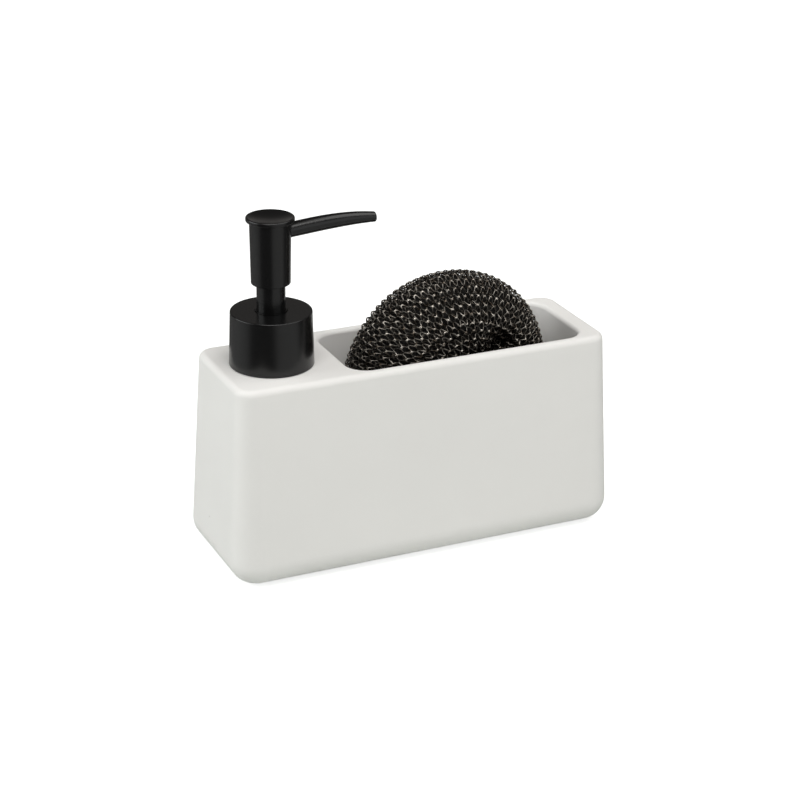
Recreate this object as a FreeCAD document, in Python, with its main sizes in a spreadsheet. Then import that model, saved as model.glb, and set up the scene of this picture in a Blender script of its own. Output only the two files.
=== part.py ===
"""Sink caddy: a stoneware casting with a lotion pump at one end and a scourer pocket.

Millimetres, +Z up. The origin is on the floor under the middle of the casting, +X runs
along the casting from the pump to the pocket, and -Y is the front.
"""

import FreeCAD
import Part
import Sketcher

import math
import os

# Driving sizes, one spreadsheet cell each

SIZES = {
    # Stoneware casting
    "foot_height": 1.0,
    "base_wall": 7.0,
    "underflow_height": 9.0,
    "pocket_floor_wall": 7.0,
    "pocket_depth": 67.0,
    "pocket_wall": 4.8,
    "pocket_end_wall": 9.15,
    "deck_length": 53.25,
    "length_draft": 4.62,
    "width_draft": 6.85,
    "base_corner_radius": 12.7,
    "top_corner_radius": 7.5,
    "base_edge_radius": 10.6,
    "top_edge_radius": 2.8,
    "pocket_corner_radius": 9.5,
    "pocket_floor_radius": 5.0,
    "pocket_rim_radius": 1.9,
    "pocket_draft": 1.6,
    "divider_wall": 6.0,
    "reservoir_wall": 6.0,
    "reservoir_corner_radius": 6.0,
    "deck_wall": 7.0,
    # Stick-on pads
    "pad_diameter": 11.0,
    "pad_end_inset": 23.0,
    "pad_side_inset": 19.0,
    # Scourer
    "scourer_diameter": 95.4,
    "scourer_thickness": 38.6,
    "scourer_side_room": 4.1,
    "scourer_end_room": 8.15,
    "scourer_offset": 1.1,
    "scourer_rest_gap": 0.3,
    "scourer_shoulder_radius": 15.0,
    "scourer_dimple_diameter": 30.0,
    "scourer_dimple_depth": 8.0,
    # Threaded neck
    "pump_inset": 24.93,
    "glue_gap": 0.15,
    "neck_plug_overhang": 2.0,
    "neck_flange_thickness": 1.4,
    "neck_flange_gap": 0.6,
    "neck_clearance": 1.2,
    "neck_wall": 2.3,
    "thread_pitch": 4.2,
    "thread_depth": 1.1,
    "thread_root_width": 1.7,
    "thread_crest_width": 0.7,
    "thread_clearance": 0.35,
    "thread_flank_gap": 0.3,
    "neck_thread_length": 7.0,
    "neck_thread_lead_in": 1.6,
    "cap_thread_length": 6.0,
    # Collar
    "collar_height": 23.9,
    "collar_gap": 0.3,
    "collar_wall": 1.45,
    "collar_draft": 0.7,
    "collar_top_wall": 1.5,
    "collar_edge_radius": 0.45,
    "cap_wall": 2.0,
    "cap_top_wall": 1.6,
    "cap_gap": 0.5,
    "rim_clearance": 0.3,
    # Pump housing and guide
    "gasket_thickness": 1.0,
    "housing_wall": 1.4,
    "housing_flange_thickness": 1.4,
    "cylinder_bore": 12.4,
    "guide_clearance": 0.2,
    "guide_wall": 1.4,
    "guide_rim_wall": 0.4,
    "guide_rim_height": 0.4,
    "guide_flange_thickness": 1.0,
    "guide_flange_width": 2.6,
    "guide_floor_thickness": 1.4,
    "valve_lip_thickness": 1.0,
    "valve_lip_diameter": 4.2,
    "valve_chamber_height": 3.3,
    "valve_chamber_diameter": 6.0,
    "inlet_diameter": 3.0,
    "inlet_length": 1.2,
    "ball_diameter": 4.8,
    "ball_seat_gap": 0.1,
    "dip_tube_diameter": 6.5,
    "dip_tube_wall": 1.0,
    "dip_tube_socket_depth": 8.0,
    "dip_tube_end_gap": 3.0,
    "dip_tube_end_cut": 4.0,
    # Piston, stem and spring
    "stroke": 11.5,
    "head_stop_gap": 0.5,
    "skirt_stop_gap": 0.5,
    "skirt_overlap": 1.5,
    "piston_stop_gap": 0.3,
    "piston_length": 8.0,
    "piston_top_seal": 2.5,
    "piston_recess_width": 0.9,
    "piston_waist_depth": 0.8,
    "piston_lip_height": 2.0,
    "seal_clearance": 0.05,
    "rod_seat_gap": 0.3,
    "rod_flange_thickness": 1.4,
    "rod_shank_length": 3.2,
    "spring_length": 20.5,
    "spring_wire": 0.9,
    "spring_clearance": 0.6,
    "spring_seat_gap": 0.05,
    "stem_diameter": 7.0,
    "stem_bore": 3.6,
    "stem_slide_clearance": 0.05,
    "stem_port_diameter": 2.0,
    "stem_port_height": 4.4,
    # Head
    "head_height": 29.2,
    "barrel_base_diameter": 16.85,
    "barrel_top_diameter": 17.7,
    "barrel_edge_radius": 0.35,
    "disc_diameter": 20.7,
    "disc_thickness": 1.9,
    "disc_edge_radius": 0.6,
    "disc_rim_width": 0.9,
    "dish_depth": 1.3,
    "skirt_diameter": 12.3,
    "skirt_wall": 1.2,
    "skirt_socket_depth": 3.0,
    "tube_socket_depth": 12.0,
    "nozzle_start": 5.0,
    "nozzle_bend": 26.5,
    "nozzle_mid": 34.0,
    "nozzle_reach": 47.9,
    "nozzle_root_drop": 7.35,
    "nozzle_bend_drop": 5.65,
    "nozzle_mid_drop": 5.45,
    "nozzle_tip_drop": 6.1,
    "nozzle_root_diameter": 6.35,
    "nozzle_mid_diameter": 5.9,
    "nozzle_tip_diameter": 4.4,
    "nozzle_bore": 2.6,
    "nozzle_edge_radius": 0.6,
    # Working allowances
    "cut_overrun": 1.0,
    "fuse_overlap": 0.3,
}

# Sizes and heights worked out from the driving sizes

PLACES = {
    # Casting, from its walls and from the scourer that stands in it
    "body_height": "base_wall + underflow_height + pocket_floor_wall + pocket_depth",
    "deck": "foot_height + body_height",
    "pocket_length": "scourer_diameter + 2 * scourer_end_room",
    "pocket_width": "scourer_thickness + 2 * scourer_side_room",
    "top_length": "deck_length + pocket_length + pocket_end_wall",
    "top_width": "pocket_width + 2 * pocket_wall",
    "base_length": "top_length + 2 * length_draft",
    "base_width": "top_width + 2 * width_draft",
    "pocket_right": "top_length / 2 - pocket_end_wall",
    "pocket_left": "pocket_right - pocket_length",
    "pocket_middle": "(pocket_left + pocket_right) / 2",
    "pocket_floor": "deck - pocket_depth",
    "reservoir_floor": "foot_height + base_wall",
    "reservoir_roof": "deck - deck_wall",
    "reservoir_right": "pocket_left - divider_wall",
    "underflow_roof": "reservoir_floor + underflow_height",
    "pad_x": "base_length / 2 - pad_end_inset",
    "pad_y": "base_width / 2 - pad_side_inset",
    "scourer_radius": "scourer_diameter / 2",
    "scourer_half": "scourer_thickness / 2",
    "scourer_height": "pocket_floor + scourer_rest_gap + scourer_radius",
    # Radii of the pump, from the stem outwards
    "pump_x": "pump_inset - top_length / 2",
    "stem_radius": "stem_diameter / 2",
    "stem_bore_radius": "stem_bore / 2",
    "skirt_radius": "skirt_diameter / 2",
    "skirt_bore_radius": "skirt_radius - skirt_wall",
    "guide_bore_radius": "skirt_radius + guide_clearance",
    "guide_rim_radius": "guide_bore_radius + guide_rim_wall",
    "guide_radius": "guide_bore_radius + guide_wall",
    "guide_flange_radius": "guide_radius + guide_flange_width",
    "rim_hole_radius": "guide_rim_radius + rim_clearance",
    "cylinder_radius": "cylinder_bore / 2",
    "cylinder_outer_radius": "cylinder_radius + housing_wall",
    "housing_radius": "guide_radius + housing_wall",
    "neck_bore_radius": "housing_radius + neck_clearance",
    "neck_radius": "neck_bore_radius + neck_wall",
    "neck_hole_radius": "neck_radius + glue_gap",
    "neck_thread_radius": "neck_radius + thread_depth",
    "cap_bore_radius": "neck_thread_radius + thread_clearance",
    "cap_thread_radius": "cap_bore_radius - thread_depth",
    "cap_radius": "cap_bore_radius + cap_wall",
    "neck_flange_radius": "cap_radius - neck_flange_gap",
    "collar_top_radius": "cap_radius + collar_wall",
    "collar_base_radius": "collar_top_radius + collar_draft",
    "piston_radius": "cylinder_radius - seal_clearance",
    "piston_bore_radius": "stem_radius + stem_slide_clearance",
    "spring_outer_radius": "cylinder_radius - spring_clearance",
    "spring_radius": "spring_outer_radius - spring_wire / 2",
    "dip_tube_radius": "dip_tube_diameter / 2",
    "socket_outer_radius": "dip_tube_radius + housing_wall",
    # Heights of the pump, from the collar's top down and from it up
    "collar_top": "deck + collar_height",
    "collar_base": "deck + collar_gap",
    "neck_flange_top": "deck + neck_flange_thickness",
    "neck_plug_end": "reservoir_roof - neck_plug_overhang",
    "cap_base": "neck_flange_top + cap_gap",
    "cap_top": "collar_top - collar_top_wall",
    "cap_under": "cap_top - cap_top_wall",
    "housing_top": "cap_under - guide_flange_thickness",
    "housing_flange_under": "housing_top - housing_flange_thickness",
    "neck_top": "housing_flange_under - gasket_thickness",
    "guide_rim_top": "collar_top + guide_rim_height",
    "head_base": "guide_rim_top + stroke + head_stop_gap",
    "head_top": "head_base + head_height",
    "skirt_end": "collar_top - skirt_overlap",
    "guide_floor": "skirt_end - stroke - skirt_stop_gap",
    "guide_end": "guide_floor - guide_floor_thickness",
    "piston_top": "guide_end - piston_stop_gap",
    "piston_base": "piston_top - piston_length",
    "piston_recess_top": "piston_top - piston_top_seal",
    "rod_flange_top": "piston_base - rod_seat_gap",
    "spring_top": "rod_flange_top - rod_flange_thickness",
    "cylinder_floor": "spring_top - spring_length",
    "valve_chamber_top": "cylinder_floor - valve_lip_thickness",
    "valve_seat_top": "valve_chamber_top - valve_chamber_height",
    "inlet_top": "valve_seat_top - (valve_chamber_diameter - inlet_diameter) / 2",
    "socket_top": "inlet_top - inlet_length",
    "housing_end": "socket_top - dip_tube_socket_depth",
    "dip_tube_end": "reservoir_floor + dip_tube_end_gap",
    "stem_top": "head_base + tube_socket_depth",
    "skirt_socket_top": "head_base + skirt_socket_depth",
    "disc_under": "head_top - disc_thickness",
    "dish_radius": "disc_diameter / 2 - disc_rim_width",
    "dish_curve": "(dish_radius * dish_radius / dish_depth + dish_depth) / 2",
    "nozzle_root_height": "head_top - nozzle_root_drop",
    "nozzle_bend_height": "head_top - nozzle_bend_drop",
    "nozzle_mid_height": "head_top - nozzle_mid_drop",
    "nozzle_tip_height": "head_top - nozzle_tip_drop",
    # Threads: the cap's ridge hangs under the neck's ridge by the flank gap
    "neck_thread_top": "neck_top - neck_thread_lead_in",
    "neck_thread_start": "neck_thread_top - neck_thread_length",
    "thread_mean_width": "(thread_root_width + thread_crest_width) / 2",
    "cap_thread_start": "neck_thread_start - thread_mean_width - thread_flank_gap",
}

# Where the seat of a ball on a 45 degree cone touches, as a share of its radius
BALL_SEAT_SHARE = math.sqrt(0.5)
SPRING_TURNS = 7
SPRING_SPANS_PER_TURN = 4
FULL_TURN = 360
TOLERANCE_SHARE = 1e-4

doc = FreeCAD.newDocument("sink_caddy")


def make_sheet(name, entries):
    """Make a spreadsheet with one aliased cell for each entry."""
    sheet = doc.addObject("Spreadsheet::Sheet", name)
    for row, (alias, content) in enumerate(entries, start=1):
        sheet.set(f"A{row}", alias)
        sheet.set(f"B{row}", content)
        sheet.setAlias(f"B{row}", alias)
    doc.recompute()
    return sheet


def qualified(expression):
    """Write the sheet's name before each size or place named in an expression."""
    words = []
    word = ""
    for character in expression + " ":
        if character.isalnum() or character == "_":
            word += character
            continue
        if word in SIZES:
            word = f"Sizes.{word}"
        elif word in PLACES:
            word = f"Places.{word}"
        words.append(word + character)
        word = ""
    return "".join(words).strip()


def formula(expression):
    """Write a places cell, whose own sheet needs no name."""
    return "=" + qualified(expression).replace("Places.", "")


sizes = make_sheet("Sizes", [(name, str(size)) for name, size in SIZES.items()])
places = make_sheet("Places", [(name, formula(text)) for name, text in PLACES.items()])


def value(expression):
    """Give the number that an expression stands for."""
    return float(sizes.evalExpression(qualified(expression)))


TOLERANCE = TOLERANCE_SHARE * value("body_height")


def bind(target, path, expression):
    """Tie a property of a document object to the sheets."""
    target.setExpression(path, qualified(expression))


# Sketches and features that several pieces share


def new_body(label, x="", y="", z=""):
    """Make an empty body at a place given by expressions."""
    body = doc.addObject("PartDesign::Body", label)
    body.Label = label
    for axis, expression in zip("xyz", (x, y, z)):
        if expression:
            bind(body, f"Placement.Base.{axis}", expression)
    return body


def free_sketch(name, height):
    """Make a level sketch of its own, at a height."""
    sketch = doc.addObject("Sketcher::SketchObject", name)
    bind(sketch, "Placement.Base.z", height)
    return sketch


def new_sketch(body, name, plane, offset=""):
    """Attach a sketch to one of the body's own origin planes, at an offset."""
    sketch = body.newObject("Sketcher::SketchObject", name)
    planes = [feature for feature in body.Origin.OriginFeatures if feature.Role == plane]
    sketch.AttachmentSupport = [(planes[0], "")]
    sketch.MapMode = "FlatFace"
    if offset:
        bind(sketch, "AttachmentOffset.Base.z", offset)
    return sketch


def constrain(sketch, kind, refs, expression):
    """Add a dimension to a sketch and tie it to the sheets."""
    index = sketch.addConstraint(Sketcher.Constraint(kind, *refs, value(expression)))
    name = f"size_{index}"
    sketch.renameConstraint(index, name)
    bind(sketch, f"Constraints.{name}", expression)


def arc_between(start, end, radius):
    """Make the shorter arc that turns left from start to end."""
    chord = end - start
    middle = (start + end) / 2
    half = chord.Length / 2
    rise = math.sqrt(max(radius * radius - half * half, 0))
    left = FreeCAD.Vector(-chord.y, chord.x, 0).normalize()
    centre = middle + left * rise
    first = math.atan2(start.y - centre.y, start.x - centre.x)
    last = math.atan2(end.y - centre.y, end.x - centre.x)
    circle = Part.Circle(centre, FreeCAD.Vector(0, 0, 1), radius)
    return Part.ArcOfCircle(circle, first, last)


def draw_outline(sketch, corners):
    """Draw a closed outline, anticlockwise where it has arcs.

    A corner is (x, y), or (x, y, radius) where a left-turning arc leads to the next one.
    """
    points = [FreeCAD.Vector(value(corner[0]), value(corner[1]), 0) for corner in corners]
    count = len(corners)
    for index, corner in enumerate(corners):
        start, end = points[index], points[(index + 1) % count]
        if len(corner) == 3:
            sketch.addGeometry(arc_between(start, end, value(corner[2])))
        else:
            sketch.addGeometry(Part.LineSegment(start, end))
    for index in range(count):
        following = (index + 1) % count
        sketch.addConstraint(Sketcher.Constraint("Coincident", index, 2, following, 1))
    for index, corner in enumerate(corners):
        for kind, on_axis, axis, text in (("DistanceX", "0", -2, corner[0]),
                                          ("DistanceY", "0", -1, corner[1])):
            if text == on_axis:
                sketch.addConstraint(Sketcher.Constraint("PointOnObject", index, 1, axis))
            else:
                constrain(sketch, kind, (-1, 1, index, 1), text)
        if len(corner) == 3:
            constrain(sketch, "Radius", (index,), corner[2])
    doc.recompute()
    return sketch


def draw_circle(sketch, x, y, radius):
    """Draw a circle whose centre and radius are expressions."""
    centre = FreeCAD.Vector(value(x), value(y), 0)
    sketch.addGeometry(Part.Circle(centre, FreeCAD.Vector(0, 0, 1), value(radius)))
    for kind, axis, text in (("DistanceX", -2, x), ("DistanceY", -1, y)):
        if text == "0":
            sketch.addConstraint(Sketcher.Constraint("PointOnObject", 0, 3, axis))
        else:
            constrain(sketch, kind, (-1, 1, 0, 3), text)
    constrain(sketch, "Radius", (0,), radius)
    doc.recompute()
    return sketch


def rounded_rectangle(sketch, left, right, half_width, radius):
    """Draw a rounded rectangle that is even about the long middle line."""
    low, high = f"-({half_width})", half_width
    inset = f"({radius})"
    return draw_outline(sketch, [
        (f"{left} + {inset}", low),
        (f"{right} - {inset}", low, radius),
        (right, f"{low} + {inset}"),
        (right, f"{high} - {inset}", radius),
        (f"{right} - {inset}", high),
        (f"{left} + {inset}", high, radius),
        (left, f"{high} - {inset}"),
        (left, f"{low} + {inset}", radius),
    ])


def loft(body, name, kind, sketches):
    """Join two or more sketches with a straight or smooth loft."""
    feature = body.newObject(f"PartDesign::{kind}Loft", name)
    feature.Profile = sketches[0]
    feature.Sections = sketches[1:]
    feature.Ruled = len(sketches) == 2
    doc.recompute()
    return feature


def revolve(body, name, sketch, kind="Revolution"):
    """Turn a sketch once round its upright axis, as added stuff or as a groove."""
    feature = body.newObject(f"PartDesign::{kind}", name)
    feature.Profile = sketch
    feature.ReferenceAxis = (sketch, ["V_Axis"])
    feature.Angle = FULL_TURN
    doc.recompute()
    return feature


def turned(label, corners):
    """Make a body on the pump's axis from corners of (radius, height)."""
    body = new_body(label, x="pump_x")
    sketch = draw_outline(new_sketch(body, f"{label}_profile", "XZ_Plane"), corners)
    revolve(body, f"{label}_turning", sketch)
    return body


def fillet(body, name, wanted, radius):
    """Round the edges of the body's tip that a test picks out."""
    tip = body.Tip
    edges = [f"Edge{index}" for index, edge in enumerate(tip.Shape.Edges, start=1) if wanted(edge)]
    if not edges:
        raise RuntimeError(f"{name} finds no edges")
    feature = body.newObject("PartDesign::Fillet", name)
    feature.Base = (tip, edges)
    bind(feature, "Radius", radius)
    doc.recompute()
    return feature


def level_edge(height, inside=None):
    """Make a test for edges that lie level at a height, and within a box if one is given."""
    level = value(height)

    def wanted(edge):
        box = edge.BoundBox
        level_there = abs(box.ZMin - level) < TOLERANCE and abs(box.ZMax - level) < TOLERANCE
        return level_there and (inside is None or inside(box))

    return wanted


def circle_edge(height, radius):
    """Make a test for full circles of one radius at a height."""
    size = value(radius)
    level = level_edge(height)

    def wanted(edge):
        is_circle = isinstance(edge.Curve, Part.Circle)
        return level(edge) and is_circle and abs(edge.Curve.Radius - size) < TOLERANCE

    return wanted


# Stoneware casting


def outer_half(base, draft, height):
    """Write the casting's outer half size at a height between its base and its deck."""
    return f"({base} / 2 - {draft} * ({height} - foot_height) / body_height)"


def hollow_section(body, name, height, right=""):
    """Draw the reservoir's outline at a height, one wall inside the casting's."""
    half_length = outer_half("base_length", "length_draft", height)
    half_width = outer_half("base_width", "width_draft", height)
    sketch = new_sketch(body, name, "XY_Plane", height)
    return rounded_rectangle(sketch, f"reservoir_wall - {half_length}",
                             right or f"{half_length} - reservoir_wall",
                             f"{half_width} - reservoir_wall", "reservoir_corner_radius")


def make_casting_form():
    """Make the casting's outer form, straight from its base outline to its deck outline."""
    base = rounded_rectangle(free_sketch("casting_base", "foot_height"), "-base_length / 2",
                             "base_length / 2", "base_width / 2", "base_corner_radius")
    top = rounded_rectangle(free_sketch("casting_top", "deck"), "-top_length / 2",
                            "top_length / 2", "top_width / 2", "top_corner_radius")
    form = doc.addObject("Part::Loft", "casting_form")
    form.Sections = [base, top]
    form.Solid = True
    form.Ruled = True
    doc.recompute()
    return form


def make_caddy_body():
    """Cast the body: sloping sides, scourer pocket, reservoir round and under it, neck hole."""
    body = new_body("caddy_body")
    body.BaseFeature = make_casting_form()
    doc.recompute()
    fillet(body, "base_rounding", level_edge("foot_height"), "base_edge_radius")
    fillet(body, "top_rounding", level_edge("deck"), "top_edge_radius")

    mouth = rounded_rectangle(new_sketch(body, "pocket_mouth_outline", "XY_Plane", "deck"),
                              "pocket_left", "pocket_right", "pocket_width / 2",
                              "pocket_corner_radius")
    floor = rounded_rectangle(new_sketch(body, "pocket_floor_outline", "XY_Plane", "pocket_floor"),
                              "pocket_left + pocket_draft", "pocket_right - pocket_draft",
                              "pocket_width / 2 - pocket_draft", "pocket_corner_radius - pocket_draft")
    loft(body, "pocket", "Subtractive", [mouth, floor])
    fillet(body, "pocket_floor_rounding", level_edge("pocket_floor"), "pocket_floor_radius")
    half_mouth = value("pocket_width / 2") + TOLERANCE
    left_mouth = value("pocket_left") - TOLERANCE
    right_mouth = value("pocket_right") + TOLERANCE

    def on_mouth(box):
        return box.YMax < half_mouth and box.XMin > left_mouth and box.XMax < right_mouth

    fillet(body, "pocket_rim_rounding", level_edge("deck", on_mouth), "pocket_rim_radius")

    loft(body, "reservoir", "Subtractive", [
        hollow_section(body, "reservoir_floor_outline", "reservoir_floor", "reservoir_right"),
        hollow_section(body, "reservoir_roof_outline", "reservoir_roof", "reservoir_right"),
    ])
    loft(body, "underflow", "Subtractive", [
        hollow_section(body, "underflow_floor_outline", "reservoir_floor"),
        hollow_section(body, "underflow_roof_outline", "underflow_roof"),
    ])

    hole = draw_circle(new_sketch(body, "neck_hole_outline", "XY_Plane", "deck"),
                       "pump_x", "0", "neck_hole_radius")
    pocket = body.newObject("PartDesign::Pocket", "neck_hole")
    pocket.Profile = hole
    bind(pocket, "Length", "deck_wall + cut_overrun")
    doc.recompute()
    return [body]


def make_foot_pads():
    """Make the four pads, one near each corner of the base."""
    pads = []
    corners = [("pad_x", "pad_y"), ("-pad_x", "pad_y"), ("-pad_x", "-pad_y"), ("pad_x", "-pad_y")]
    for number, (x, y) in enumerate(corners, start=1):
        pad = doc.addObject("Part::Cylinder", f"foot_pad_{number}")
        pad.Label = f"foot_pad_{number}"
        bind(pad, "Radius", "pad_diameter / 2")
        bind(pad, "Height", "foot_height")
        bind(pad, "Placement.Base.x", x)
        bind(pad, "Placement.Base.y", y)
        pads.append(pad)
    doc.recompute()
    return pads


# Scourer


def make_scourer():
    """Make the puck that the knitted pad fills, standing on edge, with a dimple each side."""
    body = new_body("scourer", x="pocket_middle - scourer_offset", z="scourer_height")
    shoulder = "scourer_radius - scourer_shoulder_radius"
    crown = "scourer_half - scourer_shoulder_radius"
    corners = [
        ("0", "scourer_dimple_depth - scourer_half"),
        ("scourer_dimple_diameter / 2", "-scourer_half"),
        (shoulder, "-scourer_half", "scourer_shoulder_radius"),
        ("scourer_radius", f"-({crown})"),
        ("scourer_radius", crown, "scourer_shoulder_radius"),
        (shoulder, "scourer_half"),
        ("scourer_dimple_diameter / 2", "scourer_half"),
        ("0", "scourer_half - scourer_dimple_depth"),
    ]
    sketch = draw_outline(new_sketch(body, "scourer_profile", "XY_Plane"), corners)
    revolve(body, "scourer_turning", sketch)
    return [body]


# Threaded neck and collar


def thread_ridge(body, name, start, root, crest, length):
    """Wind a ridge of trapezium section round the pump's axis, from its start upwards."""
    low, high = f"{start} - thread_root_width / 2", f"{start} + thread_root_width / 2"
    low_crest, high_crest = f"{start} - thread_crest_width / 2", f"{start} + thread_crest_width / 2"
    corners = [(root, low), (crest, low_crest), (crest, high_crest), (root, high)]
    sketch = draw_outline(new_sketch(body, f"{name}_profile", "XZ_Plane"), corners)
    helix = body.newObject("PartDesign::AdditiveHelix", name)
    helix.Profile = sketch
    helix.ReferenceAxis = (sketch, ["V_Axis"])
    helix.Mode = "pitch-height-angle"
    helix.HasBeenEdited = True
    bind(helix, "Pitch", "thread_pitch")
    bind(helix, "Height", length)
    doc.recompute()
    return helix


def make_neck():
    """Make the neck that is glued into the casting, and the washer on its top."""
    neck = turned("neck_ring", [
        ("neck_bore_radius", "neck_plug_end"),
        ("neck_radius", "neck_plug_end"),
        ("neck_radius", "deck"),
        ("neck_flange_radius", "deck"),
        ("neck_flange_radius", "neck_flange_top"),
        ("neck_radius", "neck_flange_top"),
        ("neck_radius", "neck_top"),
        ("neck_bore_radius", "neck_top"),
    ])
    thread_ridge(neck, "neck_thread", "neck_thread_start", "neck_radius - fuse_overlap",
                 "neck_thread_radius", "neck_thread_length")
    gasket = turned("neck_gasket", [
        ("housing_radius", "neck_top"),
        ("neck_radius", "neck_top"),
        ("neck_radius", "housing_flange_under"),
        ("housing_radius", "housing_flange_under"),
    ])
    return [neck, gasket]


def make_collar():
    """Make the black cover and the threaded cap inside it."""
    shell = turned("collar_shell", [
        ("cap_radius", "collar_base"),
        ("collar_base_radius", "collar_base"),
        ("collar_top_radius", "collar_top"),
        ("rim_hole_radius", "collar_top"),
        ("rim_hole_radius", "cap_top"),
        ("cap_radius", "cap_top"),
    ])
    fillet(shell, "collar_edge", circle_edge("collar_top", "collar_top_radius"),
           "collar_edge_radius")
    cap = turned("closure_cap", [
        ("cap_bore_radius", "cap_base"),
        ("cap_radius", "cap_base"),
        ("cap_radius", "cap_top"),
        ("rim_hole_radius", "cap_top"),
        ("rim_hole_radius", "cap_under"),
        ("cap_bore_radius", "cap_under"),
    ])
    thread_ridge(cap, "cap_thread", "cap_thread_start", "cap_bore_radius + fuse_overlap",
                 "cap_thread_radius", "cap_thread_length")
    return [shell, cap]


# Pump


def make_housing():
    """Make the pump cylinder: flange, guide socket, cylinder, inlet valve and tube socket."""
    return [turned("pump_housing", [
        ("dip_tube_radius", "housing_end"),
        ("socket_outer_radius", "housing_end"),
        ("socket_outer_radius", "valve_chamber_top"),
        ("cylinder_outer_radius", "cylinder_floor"),
        ("cylinder_outer_radius", "guide_end - housing_wall"),
        ("housing_radius", "guide_end"),
        ("housing_radius", "housing_flange_under"),
        ("neck_radius", "housing_flange_under"),
        ("neck_radius", "housing_top"),
        ("guide_radius", "housing_top"),
        ("guide_radius", "guide_end"),
        ("cylinder_radius", "guide_end"),
        ("cylinder_radius", "cylinder_floor"),
        ("valve_lip_diameter / 2", "cylinder_floor"),
        ("valve_lip_diameter / 2", "valve_chamber_top"),
        ("valve_chamber_diameter / 2", "valve_chamber_top"),
        ("valve_chamber_diameter / 2", "valve_seat_top"),
        ("inlet_diameter / 2", "inlet_top"),
        ("inlet_diameter / 2", "socket_top"),
        ("dip_tube_radius", "socket_top"),
    ])]


def make_guide():
    """Make the cup that guides the head's tube and stops the piston."""
    return [turned("chaplet", [
        ("stem_radius + guide_clearance", "guide_end"),
        ("guide_radius", "guide_end"),
        ("guide_radius", "housing_top"),
        ("guide_flange_radius", "housing_top"),
        ("guide_flange_radius", "cap_under"),
        ("guide_rim_radius", "cap_under"),
        ("guide_rim_radius", "guide_rim_top"),
        ("guide_bore_radius", "guide_rim_top"),
        ("guide_bore_radius", "guide_floor"),
        ("stem_radius + guide_clearance", "guide_floor"),
    ])]


def make_dip_tube():
    """Make the suction tube, cut aslant at its lower end so that it can't seal on the floor."""
    body = turned("dip_tube", [
        ("dip_tube_radius - dip_tube_wall", "dip_tube_end"),
        ("dip_tube_radius", "dip_tube_end"),
        ("dip_tube_radius", "socket_top"),
        ("dip_tube_radius - dip_tube_wall", "socket_top"),
    ])
    reach = "dip_tube_radius + cut_overrun"
    wedge = draw_outline(new_sketch(body, "dip_tube_cut_outline", "XZ_Plane"), [
        (f"-({reach})", "dip_tube_end"),
        (f"-({reach})", "dip_tube_end - cut_overrun"),
        (reach, "dip_tube_end - cut_overrun"),
        (reach, "dip_tube_end + dip_tube_end_cut"),
    ])
    cut = body.newObject("PartDesign::Pocket", "dip_tube_cut")
    cut.Profile = wedge
    cut.Midplane = True
    bind(cut, "Length", "dip_tube_diameter + cut_overrun")
    doc.recompute()
    return [body]


def make_inlet_ball():
    """Make the ball that rests in the cone of the inlet valve."""
    ball = doc.addObject("Part::Sphere", "inlet_ball")
    ball.Label = "inlet_ball"
    touch = f"ball_diameter / 2 * {BALL_SEAT_SHARE}"
    bind(ball, "Radius", "ball_diameter / 2")
    bind(ball, "Placement.Base.x", "pump_x")
    bind(ball, "Placement.Base.z",
         f"valve_seat_top - valve_chamber_diameter / 2 + 2 * {touch} + ball_seat_gap")
    doc.recompute()
    return [ball]


def make_piston():
    """Make the sliding seal: two lips on the cylinder, one on the stem, one on the rod."""
    waist = "piston_radius - piston_waist_depth"
    return [turned("piston_seal", [
        ("stem_radius + piston_recess_width", "piston_base"),
        ("piston_radius", "piston_base"),
        ("piston_radius", "piston_base + piston_lip_height"),
        (waist, "piston_base + piston_lip_height + piston_waist_depth"),
        (waist, "piston_top - piston_lip_height - piston_waist_depth"),
        ("piston_radius", "piston_top - piston_lip_height"),
        ("piston_radius", "piston_top"),
        ("piston_bore_radius", "piston_top"),
        ("piston_bore_radius", "piston_recess_top"),
        ("stem_radius + piston_recess_width", "piston_recess_top"),
    ])]


def make_stem():
    """Make the stem with its cross port, and the rod that plugs its foot."""
    stem = turned("stem", [
        ("stem_bore_radius", "rod_flange_top"),
        ("stem_radius", "rod_flange_top"),
        ("stem_radius", "stem_top"),
        ("stem_bore_radius", "stem_top"),
    ])
    port = draw_circle(new_sketch(stem, "stem_port_outline", "XZ_Plane"), "0",
                       "rod_flange_top + stem_port_height", "stem_port_diameter / 2")
    cut = stem.newObject("PartDesign::Pocket", "stem_port")
    cut.Profile = port
    cut.Midplane = True
    bind(cut, "Length", "stem_diameter + cut_overrun")
    doc.recompute()
    rod = turned("piston_rod", [
        ("0", "spring_top"),
        ("spring_outer_radius", "spring_top"),
        ("spring_outer_radius", "rod_flange_top"),
        ("stem_bore_radius", "rod_flange_top"),
        ("stem_bore_radius", "rod_flange_top + rod_shank_length"),
        ("0", "rod_flange_top + rod_shank_length"),
    ])
    return [stem, rod]


def make_plunger_tube():
    """Make the tube that shows under the head: pressed into the head, with the stem in it."""
    return [turned("plunger_tube", [
        ("skirt_bore_radius", "skirt_end"),
        ("skirt_radius", "skirt_end"),
        ("skirt_radius", "stem_top"),
        ("stem_radius", "stem_top"),
        ("stem_radius", "skirt_socket_top"),
        ("skirt_bore_radius", "skirt_socket_top"),
    ])]


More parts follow.
